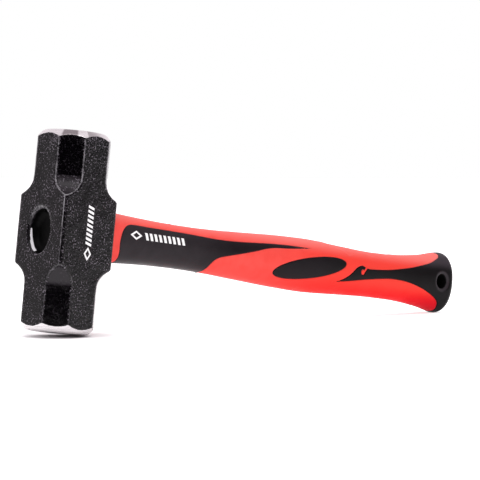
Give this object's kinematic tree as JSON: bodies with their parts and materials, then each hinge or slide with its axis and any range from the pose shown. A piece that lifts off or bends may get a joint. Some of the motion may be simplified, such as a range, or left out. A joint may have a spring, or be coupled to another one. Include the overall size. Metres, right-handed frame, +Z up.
{
  "type": "lump hammer",
  "caption": "Double-faced lump hammer with a square black forged head, chamfered ground ends and a straight overmoulded fibreglass handle in red and black with a hang hole.",
  "frame": {"origin": "middle of the footprint of the object's box, on the surface that the hammer rests on", "axes": "+Z up from the surface, +X from the head towards the butt, Y across the handle; the hammer lies at rest on the rim of one striking face and the heel of the butt, so its own axes are turned about 7.1 degrees about Y"},
  "size_m": [0.3782, 0.042, 0.1245],
  "materials": {
    "painted_forging": "textured semi-matt black, bright ground steel at both ends",
    "resin": "gloss",
    "fibreglass": "satin",
    "black_plastic": "satin",
    "red_rubber": "soft satin"
  },
  "bodies": {
    "root": {"head": "painted_forging", "eye_resin": "resin", "fibreglass_core": "fibreglass", "inner_jacket": "black_plastic", "outer_grip": "red_rubber"}
  },
  "joints": []
}
